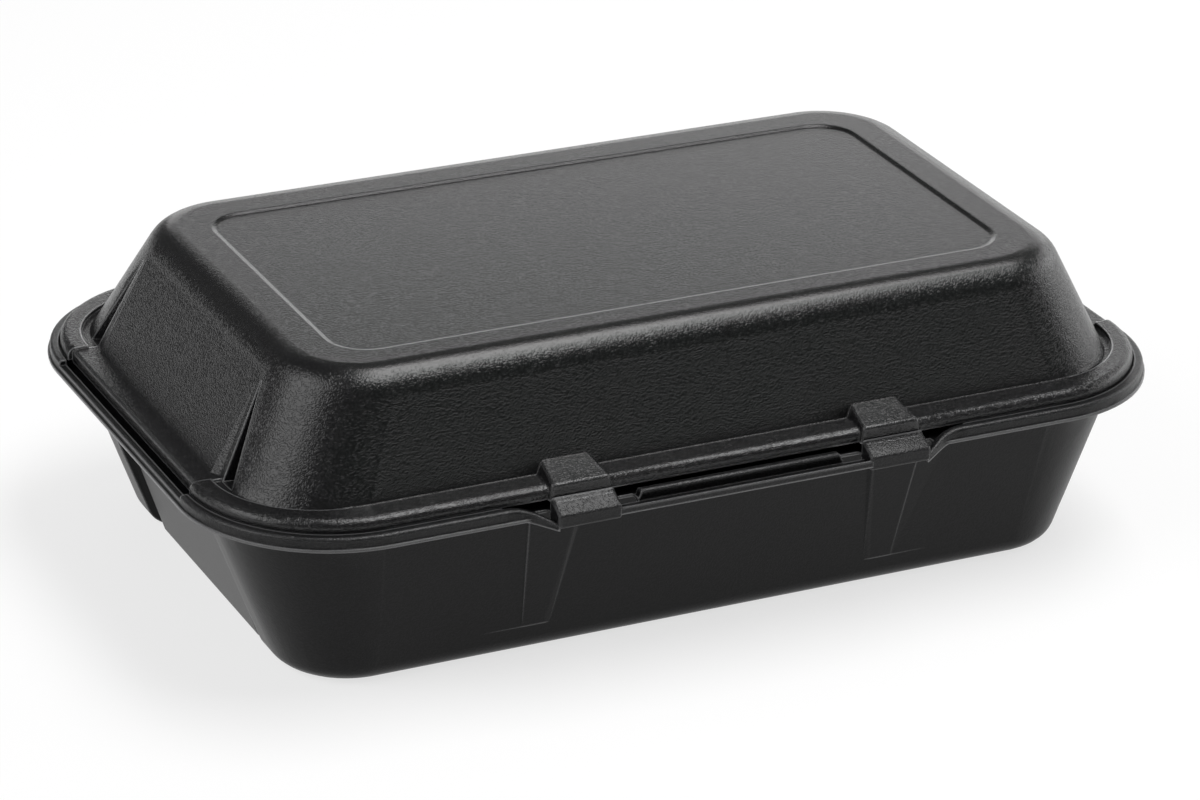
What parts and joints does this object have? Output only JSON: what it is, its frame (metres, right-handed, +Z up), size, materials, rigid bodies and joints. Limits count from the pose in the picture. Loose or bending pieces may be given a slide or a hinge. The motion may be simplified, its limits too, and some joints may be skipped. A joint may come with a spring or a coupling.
{
  "type": "hinged takeout container",
  "caption": "Closed rectangular takeout container of moulded plastic: deep tapered tray, domed lid on a rear crease, front snap latches.",
  "frame": {"origin": "middle of the tray's foot, on the surface that it stands on", "axes": "+Z up, +X along the length, the latches face -Y and the rear crease runs along X at +Y"},
  "size_m": [0.246, 0.1603, 0.076],
  "materials": {
    "black_plastic": "fine leather grain, satin black"
  },
  "bodies": {
    "tray": {"base_tray": "black_plastic"},
    "lid": {"lid": "black_plastic"}
  },
  "joints": [
    {"name": "lid_hinge", "type": "hinge", "parent": "tray", "child": "lid", "pos_m": [0, 0.0805, 0.0453], "axis": [-1, 0, 0], "range_deg": [0, 180]}
  ]
}
